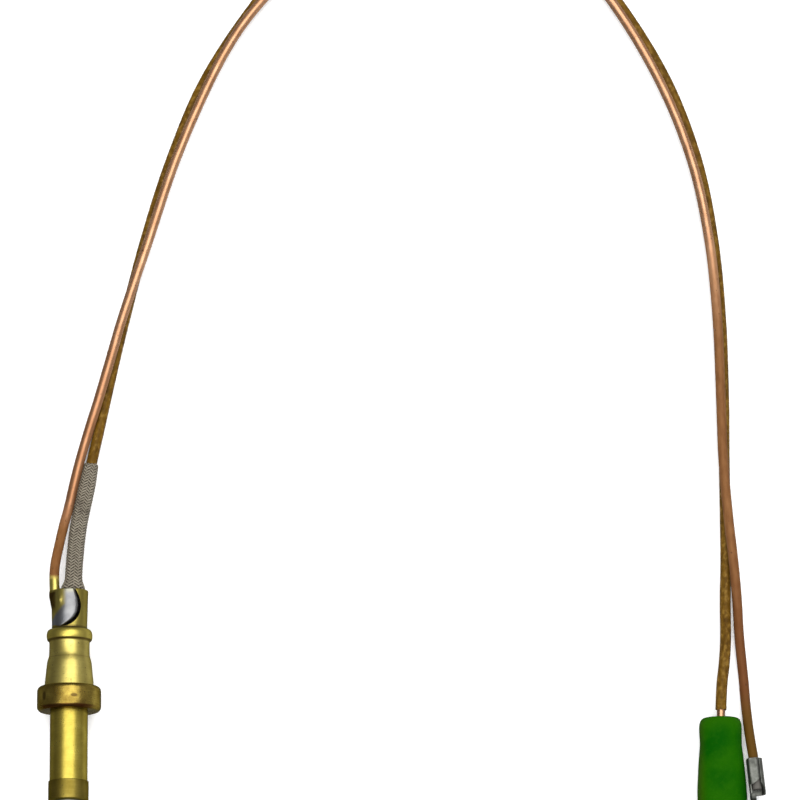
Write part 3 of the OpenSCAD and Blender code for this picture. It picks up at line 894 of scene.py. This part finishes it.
def finish_brass(name, silver=False):
    """The head's brass with painted shade: on the cup's left wall and its braze, in the bore, and
    in thin lines at the cup's foot, under the bead and at the neck's step. silver lays the
    solder's tin over it, up to a slanting edge, with a painted reflection low on the left."""
    n = brass(name, (0.84, 0.71, 0.21), (0.58, 0.47, 0.12), 0.27, 0.5)
    x, y, z = n.split(n.place)
    colour = n.painted()
    blotch = n.noise(n.place, 900, 4, 0.6)
    cup = n.between(y, 0.0176, 0.0186)
    colour = n.stain(colour, cup, (0.52, 0.43, 0.11) if silver else (0.33, 0.26, 0.045), 0.7)
    if silver:
        slope = n.times(n.math("MAXIMUM", n.math("SUBTRACT", 0.0217, y), 0.0), 0.87)
        edge = n.math("ADD", n.math("ADD", x, slope), n.times(blotch, 0.0004))
        bright = n.between(edge, -0.0009, -0.0001)
        tin = n.mix(n.rise(blotch, 0.3, 0.7), (0.25, 0.25, 0.255), 0.345)
        # painted reflection: the tin's lower left is painted a lighter, bluish grey
        low = n.times(n.below(y, 0.0192, 0.0215), n.below(x, -0.0014, 0.0002))
        tin = n.stain(tin, low, (0.31, 0.32, 0.35), 0.85)
        rim = n.times(n.between(y, 0.0232, 0.0241), 0.55)
        tin = n.mix(rim, tin, (0.52, 0.50, 0.33))
        colour = n.mix(bright, colour, tin)
    bead = n.band(y, (0.0161, 0.0164), (0.0175, 0.0179))
    colour = n.stain(colour, bead, (0.72, 0.58, 0.08), 0.5)
    # painted shade: a thin dark line under the bead, where its lower edge turns in
    corner = n.band(y, (0.01575, 0.01605), (0.01618, 0.01635))
    colour = n.stain(colour, corner, (0.13, 0.075, 0.015), 0.8)
    # painted shade: a thin dark line at the step from the cone to the neck
    step = n.band(y, (0.01315, 0.0133), (0.0133, 0.01345))
    colour = n.stain(colour, step, (0.30, 0.18, 0.04), 0.35)
    # painted shade: the cup's left wall and the braze there, mottled dark brown
    left_wall_shade = n.times(n.below(x, -0.0024, -0.0019),
                    n.band(y, (0.0200, 0.0218), (0.0237, 0.0241)))
    mottled = n.ramp(blotch, [(0.25, 0.75), (0.6, 1.0)])
    colour = n.mix(n.times(left_wall_shade, mottled), colour, (0.11, 0.062, 0.02))
    bore = n.new("ShaderNodeVectorMath", operation="LENGTH")
    middle = n.new("ShaderNodeCombineXYZ")
    n.link(x, middle.inputs[0])
    n.link(n.math("SUBTRACT", z, 0.0051), middle.inputs[2])
    n.link(middle.outputs[0], bore.inputs[0])
    # painted shade: the bore inside the cup is painted near black
    bore_shade = n.times(n.below(bore.outputs["Value"], 0.00234, 0.00262), n.between(y, 0.0170, 0.0175))
    colour = n.mix(bore_shade, colour, (0.012, 0.008, 0.006))
    # painted shade: a dark line in the crease at the cup's foot, above the bead
    foot_line_shade = n.band(y, (0.0177, 0.0179), (0.0181, 0.0185))
    colour = n.stain(colour, foot_line_shade, (0.10, 0.06, 0.02), 0.7)
    n.set(Base_Color=colour)
    return n.material


def finish_collar():
    """Darker, stained brass with two dark marks and a rusty patch under its lower edge."""
    n = brass("collar_brass", (0.62, 0.47, 0.10), (0.26, 0.17, 0.03), 0.2, 0.8)
    x, y, z = n.split(n.place)
    colour = n.painted()
    patch = n.rise(n.noise(n.stretch(n.place, (1, 0.55, 1)), 300, 3, 0.5), 0.4, 0.58)
    left = n.below(x, -0.0038, -0.0006)
    right = n.times(n.between(x, 0.0006, 0.0018), 0.7)
    stained = n.times(patch, n.math("ADD", left, right))
    colour = n.stain(colour, stained, (0.085, 0.045, 0.012), 0.9)
    rust = n.times(n.below(y, 0.00515, 0.0054), n.between(z, 0.0072, 0.0088))
    colour = n.stain(colour, rust, (0.10, 0.02, 0.008), 0.8)

    def spot(middle_x, middle_y, wide, long):
        a = n.math("DIVIDE", n.math("SUBTRACT", x, middle_x), wide)
        b = n.math("DIVIDE", n.math("SUBTRACT", y, middle_y), long)
        far = n.math("ADD", n.times(a, a), n.times(b, b))
        return n.below(far, 0.25, 1.3)

    front_mark = spot(0.00115, 0.0066, 0.0006, 0.00032)
    left_mark = spot(-0.0037, 0.0067, 0.00032, 0.0008)
    marks = n.math("MAXIMUM", front_mark, left_mark)
    marks = n.times(marks, n.between(z, 0.0055, 0.0062))
    colour = n.stain(colour, marks, (0.07, 0.035, 0.012), 0.75)
    n.set(Base_Color=colour)
    return n.material


def finish_copper(name, lead=True):
    """Aged copper. The bare lead shines along the arch and has a brassy foot, dull ends that are
    partly oxide and partly painted shade, and a greyed end in the crimp."""
    n = Nodes(name)
    n.set(Specular_IOR_Level=0.12)
    wrap = n.wrap()
    d = n.split(wrap)[2]
    streak = n.noise(n.stretch(wrap, (1.6, 1.6, 0.05)), 1.0, 4, 0.6)
    blotch = n.noise(n.stretch(wrap, (0.9, 0.9, 0.35)), 1.0, 5, 0.6)
    grain = n.noise(n.place, 2400, 3, 0.6)
    base = n.mix(n.rise(blotch, 0.3, 0.72), (0.50, 0.25, 0.13), (0.80, 0.46, 0.27))
    base = n.stain(base, n.rise(streak, 0.45, 0.7), (0.55, 0.27, 0.12), 0.4)
    rough = n.ramp(grain, [(0.3, 0.17), (0.7, 0.3)])
    metal = 0.86
    pits = n.fall(n.noise(n.stretch(wrap, (1.7, 1.7, 1.3)), 1.0, 2, 0.5), 0.25, 0.31)
    if lead:
        # the duller, darker stretches near both ends and up to 62 mm along: partly oxide, partly
        # painted shade where the wire catches no highlight
        low = n.below(d, 11.0, 17.0)
        high = n.between(d, 212.0, 240.0)
        dull = n.times(n.math("MAXIMUM", low, high), 0.94)
        half = n.times(n.below(d, 28.0, 62.0), 0.6)
        base = n.mix(half, base, (0.40, 0.17, 0.075))
        rough = n.mix(half, rough, 0.36)
        oxide_and_shade = n.mix(n.rise(blotch, 0.3, 0.7), (0.122, 0.046, 0.011), (0.195, 0.084, 0.024))
        base = n.mix(dull, base, oxide_and_shade)
        rough = n.mix(dull, rough, 0.6)
        metal = n.mix(dull, metal, 0.12)
        base = n.stain(base, n.between(d, 268.0, 292.0), (0.098, 0.030, 0.008), 0.7)
    base = n.stain(base, pits, (0.06, 0.025, 0.012), 0.75)
    if lead:
        olive = n.between(d, 294.0, 302.0)
        base = n.stain(base, olive, (0.085, 0.044, 0.003), 0.8)
        foot = n.below(n.math("ADD", d, n.times(blotch, 0.8)), 3.0, 4.1)
        base = n.mix(foot, base, (0.80, 0.66, 0.17))
        rough = n.mix(foot, rough, 0.3)
        metal = n.mix(foot, metal, 1.0)
        base = n.mix(n.between(d, 307.4, 308.4), base, (0.10, 0.095, 0.085))
    n.set(Base_Color=base, Roughness=rough, Metallic=metal if lead else 1.0)
    n.bump(n.noise(n.place, 4200, 4, 0.6), 0.000015)
    return n.material


def finish_varnish():
    """Amber varnished sleeving: uneven colour, a soft shine and faint rings near its far end."""
    n = Nodes("amber_varnish")
    wrap = n.wrap()
    d = n.split(wrap)[2]
    blotch = n.noise(n.stretch(wrap, (0.8, 0.8, 0.3)), 1.0, 5, 0.6)
    fleck = n.noise(n.stretch(wrap, (1.4, 1.4, 1.1)), 1.0, 3, 0.6)
    colour = n.mix(n.rise(blotch, 0.3, 0.7), (0.062, 0.028, 0.0015), (0.145, 0.073, 0.006))
    colour = n.stain(colour, n.rise(fleck, 0.5, 0.64), (0.235, 0.135, 0.024), 0.6)
    colour = n.stain(colour, n.fall(fleck, 0.3, 0.42), (0.035, 0.016, 0.002), 0.5)
    weave = n.new("ShaderNodeTexWave", wave_type="BANDS", bands_direction="Z")
    weave.inputs["Scale"].default_value = 0.55
    weave.inputs["Distortion"].default_value = 1.2
    weave.inputs["Detail"].default_value = 2.0
    n.link(n.stretch(wrap, (0.25, 0.25, 1.0)), weave.inputs["Vector"])
    ring_zone = n.between(d, 262.0, 285.0)
    rings = n.times(n.rise(weave.outputs["Fac"], 0.7, 0.95), ring_zone)
    rings = n.times(rings, n.rise(blotch, 0.45, 0.6))
    colour = n.stain(colour, rings, (0.24, 0.15, 0.04), 0.12)
    # painted shade: the sleeve's end inside the head is painted near black
    inside = n.below(d, 6.5, 7.0)
    colour = n.mix(inside, colour, (0.01, 0.007, 0.005))
    n.set(Base_Color=colour, Roughness=n.ramp(blotch, [(0.3, 0.5), (0.7, 0.36)]))
    n.set(Specular_IOR_Level=0.09)
    n.bump(n.math("ADD", n.noise(n.place, 3000, 4, 0.6), n.times(rings, 0.6)), 0.00003)
    return n.material


def finish_braid():
    """Grey glass yarns: fine filaments along each yarn, painted shade towards the yarns' edges and
    inside the cup, and a smudge.
    """
    n = Nodes("glass_yarn")
    wrap = n.wrap()
    c, _, d = n.split(wrap)
    thread = n.noise(n.stretch(wrap, (3.5, 1.0, 0.5)), 1.0, 3, 0.6)
    tone = n.noise(n.stretch(wrap, (0.1, 0.9, 0.5)), 1.0, 3, 0.6)
    colour = n.mix(n.rise(tone, 0.3, 0.7), (0.19, 0.165, 0.125), (0.32, 0.285, 0.22))
    colour = n.stain(colour, n.fall(thread, 0.42, 0.6), (0.10, 0.082, 0.058), 0.45)
    # painted shade: each yarn darkens towards its edges, in the hollows between yarns
    side = n.between(n.math("ABSOLUTE", c), 0.32, 0.84)
    colour = n.stain(colour, side, (0.018, 0.014, 0.01), 0.92)
    smudge = n.times(
                    n.below(n.math("ABSOLUTE", n.math("SUBTRACT", d, 17.6)), 0.2, 1.9),
                    n.rise(n.noise(n.place, 620, 3, 0.5), 0.42, 0.58))
    colour = n.stain(colour, smudge, (0.04, 0.03, 0.022), 0.75)
    # painted shade: the braid's end inside the cup is painted near black
    inside = n.below(d, 2.6, 3.3)
    colour = n.mix(inside, colour, (0.012, 0.009, 0.007))
    n.set(Base_Color=colour, Roughness=0.8, Specular_IOR_Level=0.2)
    n.bump(thread, 0.00003)
    return n.material


def finish_boot():
    """Soft green vinyl with faint mould mottling and darker sides."""
    n = Nodes("green_vinyl")
    x, y, _ = n.split(n.place)
    broad = n.noise(n.place, 170, 3, 0.5)
    fine = n.noise(n.place, 1500, 4, 0.6)
    colour = n.mix(n.rise(broad, 0.35, 0.68), (0.002, 0.060, 0.0002), (0.011, 0.086, 0.0002))
    colour = n.stain(colour, n.rise(fine, 0.5, 0.75), (0.018, 0.10, 0.001), 0.3)
    top = n.times(n.between(y, 0.0, 0.0026), 0.6)
    colour = n.mix(top, colour, (0.017, 0.094, 0.0004))
    # the left side is made browner and the lower right side darker
    left = n.below(x, 0.0998, 0.1014)
    colour = n.stain(colour, left, (0.030, 0.062, 0.0005), 0.6)
    right = n.times(n.between(x, 0.1058, 0.1076), n.below(y, -0.0085, -0.002))
    colour = n.stain(colour, right, (0.001, 0.042, 0.0002), 0.6)
    n.set(Base_Color=colour, Roughness=n.ramp(fine, [(0.3, 0.62), (0.7, 0.5)]))
    n.set(Specular_IOR_Level=0.015)
    n.bump(n.math("ADD", fine, n.times(n.noise(n.place, 6000, 3), 0.4)), 0.00004)
    return n.material


def finish_tinned():
    """Tinned sheet: soft grey shine, drawn scratches along it and stains."""
    n = Nodes("tinned_sheet")
    n.set(Metallic=1.0)
    blotch = n.noise(n.place, 700, 5, 0.62)
    scratch = n.noise(n.stretch(n.place, (7000, 420, 7000)), 1.0, 3, 0.6)
    colour = n.mix(n.rise(blotch, 0.32, 0.66), (0.12, 0.125, 0.108), (0.27, 0.278, 0.25))
    colour = n.stain(colour, n.rise(scratch, 0.5, 0.72), (0.2, 0.19, 0.17), 0.3)
    spots = n.fall(n.noise(n.place, 1900, 2, 0.5), 0.27, 0.33)
    colour = n.stain(colour, spots, (0.07, 0.075, 0.06), 0.7)
    n.set(Base_Color=colour, Roughness=n.ramp(blotch, [(0.3, 0.58), (0.7, 0.42)]))
    n.bump(n.math("ADD", scratch, blotch), 0.000015)
    return n.material


def finish_alloy(name, light, dark, rough):
    """Heat-dulled alloy with oxide tints."""
    n = Nodes(name)
    n.set(Metallic=1.0)
    blotch = n.noise(n.place, 500, 5, 0.65)
    fine = n.noise(n.stretch(n.place, (300, 7000, 300)), 1.0, 3, 0.6)
    colour = n.mix(n.rise(blotch, 0.3, 0.7), dark, light)
    tint = n.between(n.split(n.place)[1], -0.012, -0.021)
    colour = n.stain(colour, tint, (0.16, 0.13, 0.15), 0.5)
    n.set(Base_Color=colour, Roughness=n.ramp(blotch, [(0.3, rough + 0.12), (0.7, rough)]))
    n.bump(n.math("ADD", fine, blotch), 0.000012)
    return n.material


def finish_insulation():
    """Pale ceramic or glass insulation, hidden inside the head."""
    n = Nodes("pale_insulation")
    grain = n.noise(n.place, 1500, 4, 0.6)
    n.set(Base_Color=n.mix(n.rise(grain, 0.3, 0.7), (0.55, 0.52, 0.45), (0.80, 0.77, 0.70)))
    n.set(Roughness=0.85)
    n.bump(grain, 0.00003)
    return n.material


def finish_sheet_brass():
    """Clean sheet brass, drawn along its length."""
    n = Nodes("sheet_brass")
    n.set(Metallic=1.0)
    blotch = n.noise(n.place, 800, 4, 0.6)
    n.set(Base_Color=n.mix(n.rise(blotch, 0.3, 0.7), (0.50, 0.40, 0.14), (0.72, 0.60, 0.24)))
    n.set(Roughness=n.ramp(blotch, [(0.3, 0.42), (0.7, 0.28)]))
    n.bump(n.noise(n.stretch(n.place, (6000, 400, 6000)), 1.0, 3), 0.00001)
    return n.material


def paint(obj, material):
    obj.data.materials.clear()
    obj.data.materials.append(material)


turned = finish_brass("turned_brass")
tinned = finish_tinned()
insulation = finish_insulation()
paint(head, turned)
paint(shank, brass(
    "shank_brass", (0.68, 0.55, 0.105), (0.46, 0.355, 0.055), 0.25, 0.4, lines=0.2,
).material)
paint(collar_ring, finish_collar())
paint(ferrule, brass(
    "ferrule_brass", (0.36, 0.275, 0.055), (0.21, 0.155, 0.022), 0.34, 0.7,
).material)
paint(tip_tube, finish_alloy("tip_alloy", (0.40, 0.38, 0.35), (0.24, 0.22, 0.20), 0.38))
paint(tip_weld, finish_alloy("weld_metal", (0.36, 0.35, 0.34), (0.18, 0.17, 0.17), 0.5))
paint(solder, finish_brass("soldered_brass", silver=True))
paint(braze, turned)
paint(copper_wire, finish_copper("aged_copper"))
paint(core_wire, finish_copper("core_copper", lead=False))
paint(varnished_sleeve, finish_varnish())
paint(glass_braid, finish_braid())
paint(boot_shell, finish_boot())
for piece in tab_pieces:
    paint(piece, tinned)
rod_alloy = finish_alloy("rod_alloy", (0.66, 0.62, 0.56), (0.48, 0.45, 0.40), 0.3)
sheet_brass = finish_sheet_brass()
for name, material in (
    ("inner_rod", rod_alloy), ("tip_insulator", insulation), ("splice_sleeve", sheet_brass),
    ("splice_insulator", insulation), ("lead_bush", insulation), ("receptacle", sheet_brass),
):
    for s in nodes[name].material_slots:
        s.material = material


# ---------- floor and light ----------

def floor():
    """A wide pale floor just under the part, which glows faintly and isn't mirrored."""
    mesh = bpy.data.meshes.new("floor")
    far, low = 4, -0.00002
    corners = [(-far, -far, low), (far, -far, low), (far, far, low), (-far, far, low)]
    mesh.from_pydata(corners, [], [(0, 1, 2, 3)])
    obj = bpy.data.objects.new("floor", mesh)
    scene.collection.objects.link(obj)
    n = Nodes("pale_floor")
    grain = n.noise(n.place, 3, 2)
    n.set(Base_Color=n.mix(n.times(grain, 0.1), 0.93, 0.90))
    n.set(Roughness=0.9, Specular_IOR_Level=0.0)
    n.set(Emission_Color=(1, 1, 1, 1), Emission_Strength=0.2)
    obj.data.materials.append(n.material)
    obj.visible_glossy = False


def softbox(name, place, aim, size, radiance, mirrored=True):
    """A rectangular light, seen in the metals or, if not mirrored, only lighting matt surfaces."""
    data = bpy.data.lights.new(name, "AREA")
    data.shape = "RECTANGLE"
    data.size, data.size_y = size
    data.energy = radiance * pi * size[0] * size[1]
    obj = bpy.data.objects.new(name, data)
    obj.location = place
    obj.rotation_euler = (Vector(aim) - Vector(place)).to_track_quat("-Z", "Y").to_euler()
    obj.visible_glossy = mirrored
    scene.collection.objects.link(obj)


def sky():
    """A dim studio round the table: darker to the left, a pale wall to the right, grey below."""
    world = bpy.data.worlds.new("studio")
    world.use_nodes = True
    scene.world = world
    tree = world.node_tree
    place = tree.nodes.new("ShaderNodeTexCoord")
    split = tree.nodes.new("ShaderNodeSeparateXYZ")
    tree.links.new(place.outputs["Generated"], split.inputs[0])

    def ramp(direction, stops):
        """A grey ramp over one part of the direction, moved from -1..1 to 0..1."""
        shift = tree.nodes.new("ShaderNodeMath")
        shift.operation = "MULTIPLY_ADD"
        shift.inputs[1].default_value = 0.5
        shift.inputs[2].default_value = 0.5
        tree.links.new(direction, shift.inputs[0])
        return grey_ramp(tree, shift.outputs[0], stops)

    height = ramp(split.outputs["Z"], [
        (0.0, 0.30), (0.36, 0.26), (0.5, 0.14), (0.8, 0.24), (0.95, 0.6),
    ])
    side = ramp(split.outputs["X"], [(0.2, 0.75), (0.6, 1.0), (0.92, 1.9)])
    both = tree.nodes.new("ShaderNodeMix")
    both.data_type = "RGBA"
    both.blend_type = "MULTIPLY"
    both.inputs[0].default_value = 1.0
    tree.links.new(height, both.inputs[6])
    tree.links.new(side, both.inputs[7])
    tree.links.new(both.outputs[2], tree.nodes["Background"].inputs["Color"])


floor()
sky()
softbox("overhead", (0.09, 0.1, 1.2), (0.05, 0.06, 0), (1.05, 1.9), 1.55)
softbox("fill", (0.05, 0.0, 2.0), (0.05, 0.06, 0), (3.0, 3.0), 2.0, mirrored=False)
